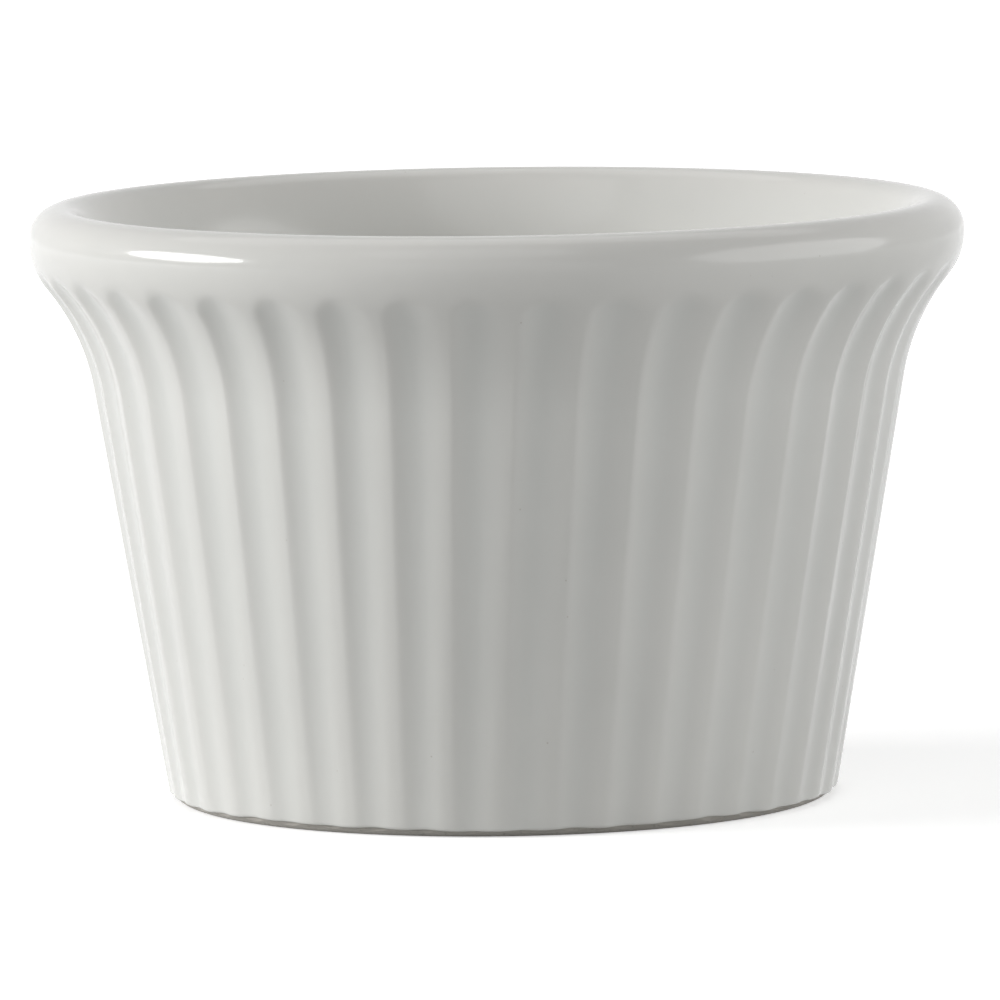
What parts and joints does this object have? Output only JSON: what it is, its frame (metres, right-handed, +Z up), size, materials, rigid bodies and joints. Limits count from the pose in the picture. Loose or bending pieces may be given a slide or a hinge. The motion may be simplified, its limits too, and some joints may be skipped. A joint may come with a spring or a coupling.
{
  "type": "ramekin",
  "caption": "Round fluted ceramic baking cup with a straight leaning wall, a flared plain lip, white glaze and a bare foot ring.",
  "frame": {"origin": "centre of the foot plane, on the axis of the cup", "axes": "+Z up along the axis of the cup, from the foot to the mouth"},
  "size_m": [0.0825, 0.0824, 0.0527],
  "materials": {
    "stoneware": "matt, unglazed, slightly sandy where the foot ring was wiped bare",
    "white_glaze": "glossy white glaze, a little thicker in the flutes and thinner on the ridges"
  },
  "bodies": {
    "root": {"clay_body": "stoneware", "glaze_coat": "white_glaze", "underside_glaze": "white_glaze"}
  },
  "joints": []
}
